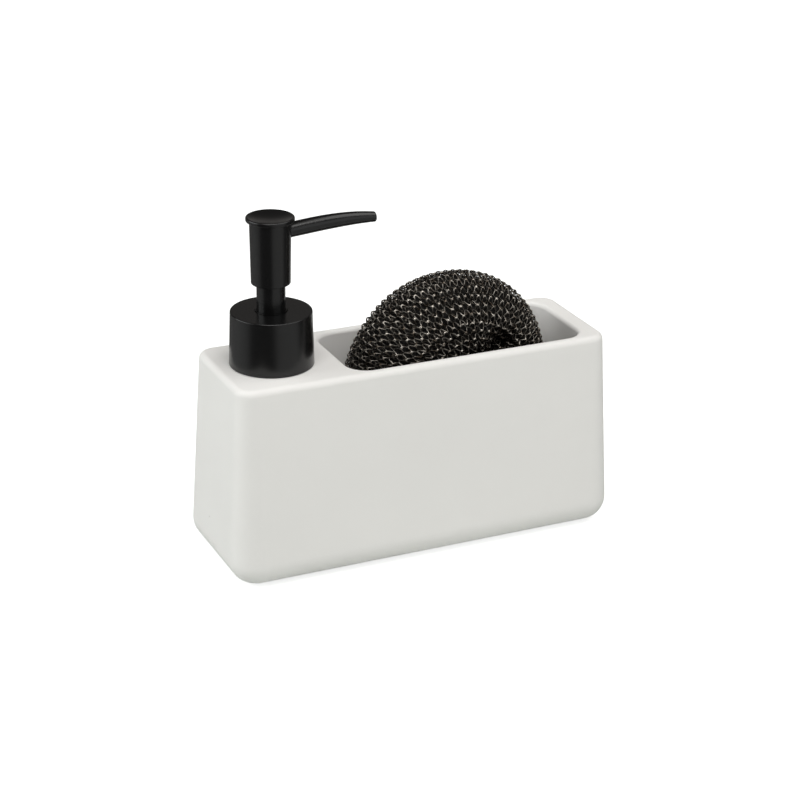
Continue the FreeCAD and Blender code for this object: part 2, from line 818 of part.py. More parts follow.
def make_head():
    """Make the head: dished disc, barrel, and the nozzle with its channel."""
    head = turned("pump_head", [
        ("skirt_radius", "head_base"),
        ("barrel_base_diameter / 2", "head_base"),
        ("barrel_top_diameter / 2", "disc_under"),
        ("disc_diameter / 2", "disc_under"),
        ("disc_diameter / 2", "head_top"),
        ("0", "head_top"),
        ("0", "nozzle_root_height"),
        ("stem_bore_radius", "nozzle_root_height"),
        ("stem_bore_radius", "stem_top"),
        ("skirt_radius", "stem_top"),
    ])
    fillet(head, "barrel_edge", circle_edge("head_base", "barrel_base_diameter / 2"),
           "barrel_edge_radius")
    fillet(head, "disc_lower_edge", circle_edge("disc_under", "disc_diameter / 2"),
           "disc_edge_radius")
    fillet(head, "disc_upper_edge", circle_edge("head_top", "disc_diameter / 2"),
           "disc_edge_radius")
    dish = draw_outline(new_sketch(head, "dish_profile", "XZ_Plane"), [
        ("0", "head_top - dish_depth", "dish_curve"),
        ("dish_radius", "head_top"),
        ("0", "head_top"),
    ])
    revolve(head, "dish", dish, "Groove")

    stations = [
        ("nozzle_start", "nozzle_root_height", "nozzle_root_diameter / 2"),
        ("nozzle_bend", "nozzle_bend_height", "nozzle_root_diameter / 2"),
        ("nozzle_mid", "nozzle_mid_height", "nozzle_mid_diameter / 2"),
        ("nozzle_reach", "nozzle_tip_height", "nozzle_tip_diameter / 2"),
    ]
    rings = []
    for number, (reach, height, radius) in enumerate(stations, start=1):
        sketch = new_sketch(head, f"nozzle_outline_{number}", "YZ_Plane", reach)
        rings.append(draw_circle(sketch, "0", height, radius))
    loft(head, "nozzle", "Additive", rings)
    tip = value("nozzle_reach") - TOLERANCE
    fillet(head, "nozzle_edge", lambda edge: edge.BoundBox.XMin > tip, "nozzle_edge_radius")

    bores = [
        ("0", "nozzle_root_height"),
        ("nozzle_bend", "nozzle_bend_height"),
        ("nozzle_mid", "nozzle_mid_height"),
        ("nozzle_reach + cut_overrun", "nozzle_tip_height"),
    ]
    rings = []
    for number, (reach, height) in enumerate(bores, start=1):
        offset = "" if reach == "0" else reach
        sketch = new_sketch(head, f"nozzle_bore_outline_{number}", "YZ_Plane", offset)
        rings.append(draw_circle(sketch, "0", height, "nozzle_bore / 2"))
    loft(head, "nozzle_channel", "Subtractive", rings)
    return [head]


# Spring


def helix_point(radius, rise, angle):
    """Give a point of a helix about Z that climbs by rise in each turn."""
    height = rise * angle / (2 * math.pi)
    return FreeCAD.Vector(radius * math.cos(angle), radius * math.sin(angle), height)


def helix_direction(radius, rise, angle):
    """Give the unit tangent of the same helix."""
    climb = rise / (2 * math.pi)
    tangent = FreeCAD.Vector(-radius * math.sin(angle), radius * math.cos(angle), climb)
    return tangent.normalize()


def tangent_arc(start, direction, end):
    """Make the arc that leaves start along a direction and reaches end."""
    chord = end - start
    half = chord.Length / 2
    turn = math.acos(min(direction.dot(chord.normalize()), 1))
    corner = start + direction * (half / math.cos(turn))
    middle = (start + end) / 2
    crown = middle + (corner - middle) * (math.tan(turn / 2) / math.tan(turn))
    return Part.Arc(start, crown, end).toShape()


def biarc(start, start_direction, end, end_direction):
    """Join two points with two tangent arcs of equal tangent lengths."""
    span = end - start
    both = start_direction + end_direction
    spread = 2 * (1 - start_direction.dot(end_direction))
    along = span.dot(both)
    reach = (math.sqrt(along * along + spread * span.dot(span)) - along) / spread
    joint = (start + end + (start_direction - end_direction) * reach) / 2
    first = tangent_arc(start, start_direction, joint)
    last = tangent_arc(end, end_direction * -1, joint)
    return [first, last]


def make_spring():
    """Coil the return spring between the cylinder's floor and the rod's flange."""
    radius, wire = value("spring_radius"), value("spring_wire")
    inset = wire / 2 + value("spring_seat_gap")
    base = value("cylinder_floor") + inset
    rise = (value("spring_length") - 2 * inset) / SPRING_TURNS
    step = 2 * math.pi / SPRING_SPANS_PER_TURN
    edges = []
    for span in range(SPRING_TURNS * SPRING_SPANS_PER_TURN):
        angles = (span * step, (span + 1) * step)
        start, end = (helix_point(radius, rise, angle) for angle in angles)
        directions = [helix_direction(radius, rise, angle) for angle in angles]
        edges += biarc(start, directions[0], end, directions[1])
    path = Part.Wire(edges)
    section = Part.Circle(helix_point(radius, rise, 0), helix_direction(radius, rise, 0), wire / 2)
    coil = path.makePipeShell([Part.Wire(section.toShape())], True, False)
    slope = math.atan2(rise, 2 * math.pi * radius)
    print("least gap between the spring's turns", round(rise * math.cos(slope) - wire, 3))
    spring = doc.addObject("Part::Feature", "return_spring")
    spring.Label = "return_spring"
    spring.Shape = coil
    spring.Placement.Base = FreeCAD.Vector(value("pump_x"), 0, base)
    return [spring]


# Assembly


def check(pieces):
    """Stop if any object failed or any piece is not one sound solid."""
    for item in doc.Objects:
        if "Invalid" in item.State or "Error" in item.State:
            raise RuntimeError(f"{item.Label} failed: {item.State}")
    for piece in pieces:
        shape = piece.Shape
        if shape.isNull() or not shape.isValid() or len(shape.Solids) != 1:
            raise RuntimeError(f"{piece.Label} is not one sound solid")


def main():
    """Build every piece, check it and write it to its own file."""
    pieces = make_caddy_body() + make_foot_pads() + make_scourer()
    pieces += make_neck() + make_collar()
    pieces += make_housing() + make_guide() + make_dip_tube() + make_inlet_ball()
    pieces += make_piston() + make_stem() + make_plunger_tube()
    pieces += make_head() + make_spring()
    doc.recompute()
    check(pieces)
    os.makedirs("parts", exist_ok=True)
    for piece in pieces:
        piece.Shape.exportStep(f"parts/{piece.Label}.step")
        print(piece.Label, round(piece.Shape.Volume, 1))


main()
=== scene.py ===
"""Dress the sink caddy: a matte stoneware tub, a satin black lotion pump and a knitted wire scourer.

Lengths are in metres. Angles are in radians, apart from those of the lights and the reflector cards.
"""
import logging
import math
from dataclasses import dataclass
from enum import Enum

import bpy
import numpy as np
from mathutils import Matrix, Vector


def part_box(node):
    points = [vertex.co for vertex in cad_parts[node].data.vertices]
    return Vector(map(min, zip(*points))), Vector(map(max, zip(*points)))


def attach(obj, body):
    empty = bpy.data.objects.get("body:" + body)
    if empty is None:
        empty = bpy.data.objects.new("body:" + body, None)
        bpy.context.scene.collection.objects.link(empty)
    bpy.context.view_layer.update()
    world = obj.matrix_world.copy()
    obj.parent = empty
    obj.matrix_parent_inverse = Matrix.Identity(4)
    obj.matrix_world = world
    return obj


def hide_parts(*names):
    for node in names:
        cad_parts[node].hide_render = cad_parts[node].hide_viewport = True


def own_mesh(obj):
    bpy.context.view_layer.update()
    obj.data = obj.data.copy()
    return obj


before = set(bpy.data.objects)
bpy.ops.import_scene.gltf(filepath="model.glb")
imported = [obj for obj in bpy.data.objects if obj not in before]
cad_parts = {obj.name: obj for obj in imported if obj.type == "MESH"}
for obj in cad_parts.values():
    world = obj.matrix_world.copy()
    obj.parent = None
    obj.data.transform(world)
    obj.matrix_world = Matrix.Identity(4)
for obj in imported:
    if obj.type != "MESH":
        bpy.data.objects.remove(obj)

LOG = logging.getLogger("caddy")
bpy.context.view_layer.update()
TURN = 2.0 * math.pi
CROWN_LIGHT = "crown_light"
CLOUD_LOW, CLOUD_HIGH = 0.3, 0.7
CLOUD_DETAIL, CLOUD_ROUGHNESS = 3.0, 0.55
FINE_DETAIL = 2.0
GRAIN_FINER = 3.1
Colour = tuple[float, float, float]
Point = tuple[float, float, float]


class Effect(Enum):
    """Surface effects that several finishes share, each one shader node group."""

    TONE = "uneven_tone"
    GRAIN = "fine_grain"


class Side(Enum):
    """The two halves of the scourer's knit, which meet at the rim and in the hole."""

    FRONT = "front"
    BACK = "back"


class NodeKit:
    """Short calls for filling one shader node tree."""

    def __init__(self, tree: bpy.types.NodeTree) -> None:
        """Keep the tree that the calls fill."""
        self.tree = tree

    def add(self, kind: str, inputs: dict[str | int, object] | None = None,
            **settings: object) -> bpy.types.Node:
        """Add a node, set its properties and feed its inputs.

        Args:
            kind: the node's type without the leading ShaderNode.
            inputs: socket name or index to a value, or to the output socket that feeds it.
            settings: properties of the node itself.

        Returns:
            The new node.
        """
        node = self.tree.nodes.new("ShaderNode" + kind)
        for key, setting in settings.items():
            setattr(node, key, setting)
        for key, given in (inputs or {}).items():
            if isinstance(given, bpy.types.NodeSocket):
                self.tree.links.new(given, node.inputs[key])
            else:
                node.inputs[key].default_value = given
        return node


class Effects:
    """The shared node groups, each built once and placed in as many materials as need it."""

    def __init__(self) -> None:
        """Start with no group built."""
        self.built: dict[Effect, bpy.types.NodeTree] = {}

    def group(self, effect: Effect) -> bpy.types.NodeTree:
        """Give the effect's node group, building it the first time.

        Args:
            effect: which effect.

        Returns:
            The group's node tree.
        """
        if effect not in self.built:
            makers = {Effect.TONE: self.make_tone, Effect.GRAIN: self.make_grain}
            self.built[effect] = makers[effect]()
        return self.built[effect]

    def place(self, kit: NodeKit, effect: Effect, **inputs: float) -> bpy.types.Node:
        """Place an effect's group in a material.

        Args:
            kit: the material's nodes.
            effect: which effect.
            inputs: values of the group's named inputs.

        Returns:
            The group node.
        """
        return kit.add("Group", inputs, node_tree=self.group(effect))

    @staticmethod
    def start(effect: Effect, inputs: dict[str, float],
              output: str) -> tuple[NodeKit, bpy.types.bpy_prop_collection, bpy.types.NodeSocket]:
        """Make an empty group with its sockets.

        Args:
            effect: the effect that the group is named for.
            inputs: the group's inputs with their usual values.
            output: the name of its one output.

        Returns:
            The group's nodes, its input sockets by name, and the socket that its result goes to.
        """
        tree = bpy.data.node_groups.new(effect.value, "ShaderNodeTree")
        for key, usual in inputs.items():
            socket = tree.interface.new_socket(key, in_out="INPUT", socket_type="NodeSocketFloat")
            socket.default_value = usual
        tree.interface.new_socket(output, in_out="OUTPUT", socket_type="NodeSocketFloat")
        source = tree.nodes.new("NodeGroupInput")
        result = tree.nodes.new("NodeGroupOutput")
        return NodeKit(tree), source.outputs, result.inputs[output]

    def make_tone(self) -> bpy.types.NodeTree:
        """Make soft patches: a cloud of noise stretched to one plus or minus the share.

        Returns:
            The group's node tree.
        """
        kit, source, result = self.start(Effect.TONE, {"Scale": 20.0, "Share": 0.05}, "Factor")
        place = kit.add("TexCoord").outputs["Object"]
        cloud = kit.add("TexNoise", {"Vector": place, "Scale": source["Scale"], "Detail": CLOUD_DETAIL,
                                     "Roughness": CLOUD_ROUGHNESS})
        low = kit.add("Math", {0: 1.0, 1: source["Share"]}, operation="SUBTRACT")
        high = kit.add("Math", {0: 1.0, 1: source["Share"]}, operation="ADD")
        stretch = {"Value": cloud.outputs["Fac"], "From Min": CLOUD_LOW, "From Max": CLOUD_HIGH,
                   "To Min": low.outputs[0], "To Max": high.outputs[0]}
        spread = kit.add("MapRange", stretch)
        kit.tree.links.new(spread.outputs["Result"], result)
        return kit.tree

    def make_grain(self) -> bpy.types.NodeTree:
        """Make fine grain: two clouds of noise, one about three times as fine as the other, averaged.

        Returns:
            The group's node tree.
        """
        kit, source, result = self.start(Effect.GRAIN, {"Scale": 900.0}, "Height")
        place = kit.add("TexCoord").outputs["Object"]
        finer = kit.add("Math", {0: source["Scale"], 1: GRAIN_FINER}, operation="MULTIPLY")
        coarse = kit.add("TexNoise", {"Vector": place, "Scale": source["Scale"], "Detail": FINE_DETAIL})
        fine = kit.add("TexNoise", {"Vector": place, "Scale": finer.outputs[0], "Detail": FINE_DETAIL})
        both = kit.add("Math", {0: coarse.outputs["Fac"], 1: fine.outputs["Fac"]}, operation="ADD")
        half = kit.add("Math", {0: both.outputs[0], 1: 0.5}, operation="MULTIPLY")
        kit.tree.links.new(half.outputs[0], result)
        return kit.tree


EFFECTS = Effects()


@dataclass(frozen=True)
class Finish:
    """How one material looks: colour, gloss, and how uneven its tone and surface are."""

    name: str
    colour: Colour
    roughness: float
    metallic: float = 0.0
    specular: float = 0.5
    tone_scale: float = 25.0
    tone_share: float = 0.06
    gloss_share: float = 0.08
    gloss_finer: float = 3.0
    grain_scale: float = 900.0
    grain_depth: float = 0.00004

    def tint(self, kit: NodeKit, tone: bpy.types.NodeSocket) -> bpy.types.NodeSocket:
        """Give the colour over the surface: here the plain colour times the uneven tone.

        Args:
            kit: the material's nodes.
            tone: the uneven tone, about one.

        Returns:
            The colour socket.
        """
        return kit.add("Mix", {"Factor": 1.0, "A": (*self.colour, 1.0), "B": tone}, data_type="RGBA",
                       blend_type="MULTIPLY").outputs["Result"]

    def material(self) -> bpy.types.Material:
        """Build the material: tinted colour, roughness that strays with the tone, and grain as bump.

        Returns:
            The finished material.
        """
        made = bpy.data.materials.new(self.name)
        made.use_nodes = True
        kit = NodeKit(made.node_tree)
        shader = made.node_tree.nodes["Principled BSDF"]
        shader.inputs["Metallic"].default_value = self.metallic
        shader.inputs["Specular IOR Level"].default_value = self.specular
        tone = EFFECTS.place(kit, Effect.TONE, Scale=self.tone_scale, Share=self.tone_share)
        gloss = EFFECTS.place(kit, Effect.TONE, Scale=self.gloss_finer * self.tone_scale,
                              Share=self.gloss_share)
        rough = kit.add("Math", {0: gloss.outputs["Factor"], 1: self.roughness}, operation="MULTIPLY")
        grain = EFFECTS.place(kit, Effect.GRAIN, Scale=self.grain_scale)
        bump = kit.add("Bump", {"Height": grain.outputs["Height"], "Strength": 1.0,
                                "Distance": self.grain_depth})
        kit.tree.links.new(self.tint(kit, tone.outputs["Factor"]), shader.inputs["Base Color"])
        kit.tree.links.new(rough.outputs[0], shader.inputs["Roughness"])
        kit.tree.links.new(bump.outputs["Normal"], shader.inputs["Normal"])
        return made


@dataclass(frozen=True)
class SpeckledFinish(Finish):
    """A fired clay body with a few tiny specks of iron in it."""

    speck_colour: Colour = (0.25, 0.21, 0.17)
    speck_scale: float = 55.0
    speck_radius_share: float = 0.018
    speck_chance: float = 0.03

    def tint(self, kit: NodeKit, tone: bpy.types.NodeSocket) -> bpy.types.NodeSocket:
        """Give the colour with specks: a small dot at the heart of a few cells of a scattered pattern.

        Args:
            kit: the material's nodes.
            tone: the uneven tone, about one.

        Returns:
            The colour socket.
        """
        plain = super().tint(kit, tone)
        place = kit.add("TexCoord").outputs["Object"]
        cells = kit.add("TexVoronoi", {"Vector": place, "Scale": self.speck_scale})
        dot = kit.add("Math", {0: cells.outputs["Distance"], 1: self.speck_radius_share},
                      operation="LESS_THAN")
        lot = kit.add("SeparateColor", {"Color": cells.outputs["Color"]})
        drawn = kit.add("Math", {0: lot.outputs[0], 1: self.speck_chance}, operation="LESS_THAN")
        mask = kit.add("Math", {0: dot.outputs[0], 1: drawn.outputs[0]}, operation="MULTIPLY")
        return kit.add("Mix", {"Factor": mask.outputs[0], "A": plain, "B": (*self.speck_colour, 1.0)},
                       data_type="RGBA").outputs["Result"]


@dataclass(frozen=True)
class TarnishAndPaintedShadeFinish(Finish):
    """A knitted metal ribbon, browner in some places than in others, with painted shade at its dips and
    painted highlights at its loop tops.
    """

    tarnish: Colour = (0.13, 0.10, 0.075)
    tarnish_finer: float = 9.0
    tarnish_range: tuple[float, float] = (0.4, 0.65)
    # The share of colour left at a loop's dip: painted shade.
    dip_shade_share: float = 0.2

    def tint(self, kit: NodeKit, tone: bpy.types.NodeSocket) -> bpy.types.NodeSocket:
        """Give the colour of the metal, mixed with its tarnish where a cloud of noise is high.

        The piece's painted light attribute, one at the top of a loop and zero at its dip, scales the colour
        up from
        the dip shade share: painted shade along the loop and a painted highlight at its top.

        Args:
            kit: the material's nodes.
            tone: the uneven tone, about one.

        Returns:
            The colour socket.
        """
        plain = super().tint(kit, tone)
        place = kit.add("TexCoord").outputs["Object"]
        cloud = kit.add("TexNoise", {"Vector": place, "Scale": self.tarnish_finer * self.tone_scale,
                                     "Detail": FINE_DETAIL})
        low, high = self.tarnish_range
        share = kit.add("MapRange", {"Value": cloud.outputs["Fac"], "From Min": low, "From Max": high})
        metal = kit.add("Mix", {"Factor": share.outputs["Result"], "A": plain, "B": (*self.tarnish, 1.0)},
                        data_type="RGBA")
        # Painted light: the colour sinks to painted shade away from each loop's top, where it stays full as a
        # painted highlight.
        crown_light = kit.add("Attribute", attribute_name=CROWN_LIGHT)
        shade = kit.add("MapRange", {"Value": crown_light.outputs["Fac"], "To Min": self.dip_shade_share})
        return kit.add("Mix", {"Factor": 1.0, "A": metal.outputs["Result"], "B": shade.outputs["Result"]},
                       data_type="RGBA", blend_type="MULTIPLY").outputs["Result"]


STONEWARE = SpeckledFinish("matte_stoneware", (0.905, 0.893, 0.872), 0.55, specular=0.3, tone_scale=14.0,
                           tone_share=0.012, gloss_share=0.06, grain_scale=700.0, grain_depth=0.00003)
BLACK_PLASTIC = Finish("satin_black_plastic", (0.004, 0.004, 0.0042), 0.24, specular=0.5, tone_scale=40.0,
                       tone_share=0.10, gloss_share=0.06, grain_scale=2600.0, grain_depth=0.000012)
NATURAL_PLASTIC = Finish("natural_plastic", (0.74, 0.75, 0.74), 0.35, tone_share=0.03)
NECK_PLASTIC = Finish("neck_plastic", (0.62, 0.62, 0.60), 0.42, tone_share=0.04)
GASKET_FOAM = Finish("gasket_foam", (0.66, 0.65, 0.62), 0.85, tone_share=0.07, grain_depth=0.00012)
PAD_RUBBER = Finish("pad_rubber", (0.34, 0.34, 0.34), 0.6, tone_share=0.06, grain_depth=0.00006)
SPRING_STEEL = Finish("spring_steel", (0.52, 0.52, 0.53), 0.26, metallic=1.0, tone_share=0.05,
                      grain_depth=0.000008)
VALVE_BALL = Finish("valve_ball", (0.60, 0.60, 0.61), 0.14, metallic=1.0, tone_share=0.03,
                    grain_depth=0.000003)
KNITTED_WIRE = TarnishAndPaintedShadeFinish("knitted_wire", (0.64, 0.595, 0.535), 0.24, metallic=1.0, tone_scale=60.0,
                               tone_share=0.2, grain_scale=3000.0, grain_depth=0.00001)
# The layer under the outer knit: the same wire, darkened as painted shade.
SHADED_WIRE = TarnishAndPaintedShadeFinish("wire_in_painted_shade", (0.17, 0.155, 0.135), 0.4, metallic=1.0, tone_scale=60.0,
                            tone_share=0.2, grain_scale=3000.0, grain_depth=0.00001,
                            tarnish=(0.09, 0.075, 0.06), dip_shade_share=0.3)
# A near-black sheet inside the knit: painted shade standing for the shaded tangle of wire within.
WIRE_SHADE = Finish("wire_shade", (0.012, 0.011, 0.010), 0.7, specular=0.2, tone_scale=260.0, tone_share=0.5,
                    grain_scale=420.0, grain_depth=0.0008)


def new_piece(name: str, points: np.ndarray, quads: np.ndarray,
              finish: bpy.types.Material) -> bpy.types.Object:
    """Make a mesh object from whole arrays.

    Args:
        name: the piece's name.
        points: vertex places in metres, any shape that ends in three.
        quads: vertex numbers of the four-sided faces, any shape that ends in four.
        finish: its material.

    Returns:
        The object, at the origin, smooth shaded.
    """
    points = np.ascontiguousarray(points, np.float32).reshape(-1, 3)
    quads = np.ascontiguousarray(quads, np.int32).reshape(-1, 4)
    mesh = bpy.data.meshes.new(name)
    mesh.vertices.add(len(points))
    mesh.vertices.foreach_set("co", points.ravel())
    mesh.loops.add(quads.size)
    mesh.loops.foreach_set("vertex_index", quads.ravel())
    mesh.polygons.add(len(quads))
    mesh.polygons.foreach_set("loop_start", np.arange(0, quads.size, 4, dtype=np.int32))
    mesh.polygons.foreach_set("use_smooth", np.ones(len(quads), bool))
    mesh.update(calc_edges=True)
    mesh.materials.append(finish)
    piece = bpy.data.objects.new(name, mesh)
    bpy.context.scene.collection.objects.link(piece)
    return piece


def wrapped_quads(*counts: int) -> np.ndarray:
    """Number the faces of grids that close on themselves both ways.

    The vertex after the last one of a row is the first one again, along both of the last two axes.

    Args:
        counts: the vertex array's shape, the last two axes being the closed grid.

    Returns:
        Vertex numbers, shaped as counts with a last axis of four.
    """
    here = np.arange(math.prod(counts)).reshape(counts)
    along = np.roll(here, -1, axis=-2)
    return np.stack([here, along, np.roll(along, -1, axis=-1), np.roll(here, -1, axis=-1)], axis=-1)


def unit(vectors: np.ndarray) -> np.ndarray:
    """Scale vectors, held along the last axis, to length one."""
    return vectors / np.linalg.norm(vectors, axis=-1, keepdims=True)


def dress(finish: bpy.types.Material, *nodes: str) -> None:
    """Give CAD nodes a material.

    Args:
        finish: the material.
        nodes: the nodes' names.
    """
    for name in nodes:
        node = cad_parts[name]
        if not node.material_slots:
            node.data.materials.append(finish)
        for slot in node.material_slots:
            slot.material = finish
        LOG.info("%s is dressed in %s", name, finish.name)


@dataclass
class Tub:
    """The stoneware casting with its glued-in neck and stick-on pads."""

    pad_count: int = 4

    def dress(self) -> None:
        """Dress the casting, its neck and its pads."""
        dress(STONEWARE.material(), "caddy_body")
        dress(NECK_PLASTIC.material(), "neck_ring")
        dress(PAD_RUBBER.material(), *(f"foot_pad_{number}" for number in range(1, self.pad_count + 1)))


@dataclass
class ReturnSpring:
    """The pump's compression spring as a wire."""

    turns: int = 7
    wire: float = 0.0009
    steps_per_turn: int = 36
    wire_sides: int = 10
    travel: float = 0.0115
    play: float = 0.0002

    def build(self, finish: bpy.types.Material) -> bpy.types.Object:
        """Carry a small circle along a helix that fills the node's box.

        Strips of quads close its ends.

        Args:
            finish: the wire's material.

        Returns:
            The piece, which stands for the return_spring node.
        """
        low, high = (np.array(corner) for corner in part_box("return_spring"))
        radius = (high[0] - low[0] - self.wire) / 2.0
        steps = self.turns * self.steps_per_turn + 1
        share = np.linspace(0.0, 1.0, steps)[:, None]
        angle = TURN * self.turns * share
        around = np.linspace(0.0, TURN, self.wire_sides, endpoint=False)[None, :]
        outward = radius + self.wire / 2.0 * np.cos(around)
        rise = low[2] + self.wire / 2.0 + (high[2] - low[2] - self.wire) * share
        middle = (low + high) / 2.0
        points = np.stack([middle[0] + outward * np.cos(angle), middle[1] + outward * np.sin(angle),
                           rise + self.wire / 2.0 * np.sin(around)], axis=-1)
        # Each strip joins two neighbours on one side of the end circle to the two across from them.
        first = np.arange(self.wire_sides // 2 - 1)
        end = np.stack([-first, first + 1, first + 2, -first - 1], axis=-1) % self.wire_sides
        # The last row of faces would join the wire's two ends, so it is left out.
        tube = wrapped_quads(steps, self.wire_sides)[:-1].reshape(-1, 4)
        quads = np.concatenate([tube, end, end[:, ::-1] + (steps - 1) * self.wire_sides])
        piece = new_piece("return_spring_wire", points, quads, finish)
        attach(piece, "pump")
        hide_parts("return_spring")
        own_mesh(piece)
        return piece


@dataclass
class Pump:
    """The lotion pump: black outside, natural plastic inside."""

    spring: ReturnSpring

    def dress(self) -> None:
        """Dress the pump's nodes."""
        dress(BLACK_PLASTIC.material(), "pump_head", "plunger_tube", "collar_shell", "chaplet")
        dress(NATURAL_PLASTIC.material(), "pump_housing", "dip_tube", "stem", "piston_rod", "piston_seal",
              "closure_cap")
        dress(GASKET_FOAM.material(), "neck_gasket")
        dress(VALVE_BALL.material(), "inlet_ball")

    def build(self) -> None:
        """Build the spring."""
        piece = self.spring.build(SPRING_STEEL.material())
        LOG.info("%s has %d faces", piece.name, len(piece.data.polygons))


@dataclass(frozen=True)
class KnitLayer:
    """One layer of knitted wire ribbon: its courses, and the loops in a course at the rim."""

    courses: int
    loops: int
    steps_per_loop: int
    depth: float
    ribbon_width: float
    ribbon_thickness: float
    swing: float = 0.18
    reach_share: float = 0.63
    weave: float = 0.0006
    tilt: float = math.radians(25.0)
    loop_spread_share: float = 0.08
    # How tightly the painted highlight gathers at the top of each loop.
    crown_light_power: float = 4.5


@dataclass
class Scourer:
    """A ring of knitted wire tube, pinched almost shut in the middle and standing on edge."""

    hole_radius: float = 0.0025
    hole_fullness: float = 0.68
    rest_gap: float = 0.0004
    hole_shift: tuple[float, float] = (0.010, 0.010)
    fold_shift: tuple[float, float] = (0.0185, 0.0168)
    fold_radius: float = 0.0042
    fold_depth: float = 0.008
    lobe_count: int = 3
    lobe_height: float = 0.0002
    lump_height: float = 0.0009
    lump_waves: int = 9
    lump_rounds_most: int = 6
    lump_rings_most: int = 4
    section_steps: int = 4000
    slope_step: float = 1e-4
    core_depth: float = 0.0021
    core_grid: tuple[int, int] = (128, 96)
    outer: KnitLayer = KnitLayer(62, 82, 12, 0.0, 0.00054, 0.0003)
    inner: KnitLayer = KnitLayer(52, 68, 10, 0.0012, 0.0005, 0.0002)
    seed: int = 7

    def __post_init__(self) -> None:
        """Take the place and size from the scourer node's box, draw the lumps and measure the section."""
        low, high = (np.array(corner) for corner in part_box("scourer"))
        self.centre = (low + high) / 2.0
        self.lowest = low[2] + self.rest_gap
        self.radius = (high[0] - low[0]) / 2.0
        self.half_thickness = (high[1] - low[1]) / 2.0
        self.chance = np.random.default_rng(self.seed)
        self.lump_rounds = self.chance.integers(1, self.lump_rounds_most + 1, self.lump_waves)
        self.lump_rings = self.chance.integers(1, self.lump_rings_most + 1, self.lump_waves)
        self.lump_starts = self.chance.uniform(0.0, TURN, self.lump_waves)
        bend = np.linspace(0.0, TURN, self.section_steps + 1)
        across, depth = self.section_at(bend)
        steps = np.hypot(np.diff(across), np.diff(depth))
        length = np.concatenate([[0.0], np.cumsum(steps)])
        self.section_table = (length / length[-1], bend)

    def section_at(self, bend: np.ndarray) -> tuple[np.ndarray, np.ndarray]:
        """Give the ring's section at an angle round it.

        The outer half is an ellipse. Towards the hole, the cosine and sine are raised to the hole's fullness
        with their signs kept, which flattens the face and steepens the funnel. Angle 0 is the outer rim, a
        quarter turn the front face and a half turn the hole.

        Args:
            bend: angles in radians.

        Returns:
            Distance from the ring's axis, and depth along it.
        """
        half_width = (self.radius - self.hole_radius) / 2.0
        across, depth = np.cos(bend), np.sin(bend)
        power = np.where(across < 0.0, self.hole_fullness, 1.0)
        full_across = np.sign(across) * np.abs(across) ** power
        full_depth = np.sign(depth) * np.abs(depth) ** power
        return self.hole_radius + half_width * (1.0 + full_across), -self.half_thickness * full_depth

    def surface(self, turn: np.ndarray, share: np.ndarray, lift: np.ndarray | float) -> np.ndarray:
        """Give points on the ring.

        The section is carried round the axis, the hole is pushed off centre by a shift that fades towards the
        rim, the rim swells and shrinks in a few lobes, and low waves of both parameters make the surface
        lumpy. Lift moves the points outwards in the direction of the section's angle. A bell-shaped pit makes
        a fold in the front face, and nothing goes below the pocket's floor.

        Args:
            turn: angle round the ring's axis.
            share: share of the section's length, from the outer rim over the front face.
            lift: distance outwards from the surface.

        Returns:
            The points, with a last axis of three.
        """
        bend = np.interp(np.mod(share, 1.0), *self.section_table)
        across, depth = self.section_at(bend)
        lumps = sum(np.sin(rounds * turn + rings * TURN * share + start) for rounds, rings, start
                    in zip(self.lump_rounds, self.lump_rings, self.lump_starts)) / self.lump_waves
        inwards = ((1.0 - np.cos(bend)) / 2.0) ** 2
        out = lift + self.lump_height * lumps
        lobes = self.lobe_height * (1.0 - inwards) * np.cos(self.lobe_count * turn)
        across = across + out * np.cos(bend) - lobes
        depth = depth - out * np.sin(bend)
        sideways = across * np.cos(turn) + self.hole_shift[0] * inwards
        upwards = across * np.sin(turn) + self.hole_shift[1] * inwards
        distance = np.hypot(sideways - self.fold_shift[0], upwards - self.fold_shift[1])
        pit = self.fold_depth * np.exp(-(distance / self.fold_radius) ** 2 / 2.0) * (depth < 0.0)
        height = np.maximum(self.centre[2] + upwards, self.lowest)
        return np.stack([self.centre[0] + sideways, self.centre[1] + depth + pit, height], axis=-1)

    def outward(self, turn: np.ndarray, share: np.ndarray, lift: np.ndarray | float) -> np.ndarray:
        """Give the ring's outward directions, square to small steps along both parameters.

        Args:
            turn: angle round the ring's axis.
            share: share of the section's length.
            lift: distance outwards from the surface.

        Returns:
            Directions of length one.
        """
        step = self.slope_step
        along = self.surface(turn + step, share, lift) - self.surface(turn - step, share, lift)
        across = self.surface(turn, share + step, lift) - self.surface(turn, share - step, lift)
        return unit(np.cross(along, across))

    def loop_values(self, courses: int, loops: int, steps: int, spread: float) -> np.ndarray:
        """Draw one value for each loop and pass smoothly from loop to loop.

        Args:
            courses: number of courses.
            loops: loops in a course.
            steps: steps in a loop.
            spread: the values' standard deviation.

        Returns:
            Values shaped (courses, loops times steps).
        """
        drawn = self.chance.normal(0.0, spread, (courses, loops))
        share = np.linspace(0.0, 1.0, steps, endpoint=False)
        ease = (1.0 - np.cos(math.pi * share)) / 2.0
        mixed = drawn[..., None] * (1.0 - ease) + np.roll(drawn, -1, axis=1)[..., None] * ease
        return mixed.reshape(courses, -1)

    def courses(self, layer: KnitLayer, side: Side) -> list[tuple[int, np.ndarray]]:
        """Sort one side's courses by how many loops go round them.

        The counts are a ladder from the rim's count down, each rung less by the square root of two, and a
        course takes the rung nearest to the rim's count times its own radius over the rim's. So the loops
        stay about one size, and line up from course to course until the next rung.

        Args:
            layer: the layer.
            side: which half of it.

        Returns:
            Each count of loops with the places of its courses, as shares of the section's length.
        """
        places = (np.arange(layer.courses) + 0.5) / layer.courses
        places = places[(places < 0.5) == (side is Side.FRONT)]
        across, _ = self.section_at(np.interp(places, *self.section_table))
        rungs = np.round(2.0 * np.log2(self.radius / across))
        counts = np.round(layer.loops * 2.0 ** (-rungs / 2.0)).astype(int)
        return [(int(count), places[counts == count]) for count in np.unique(counts)]

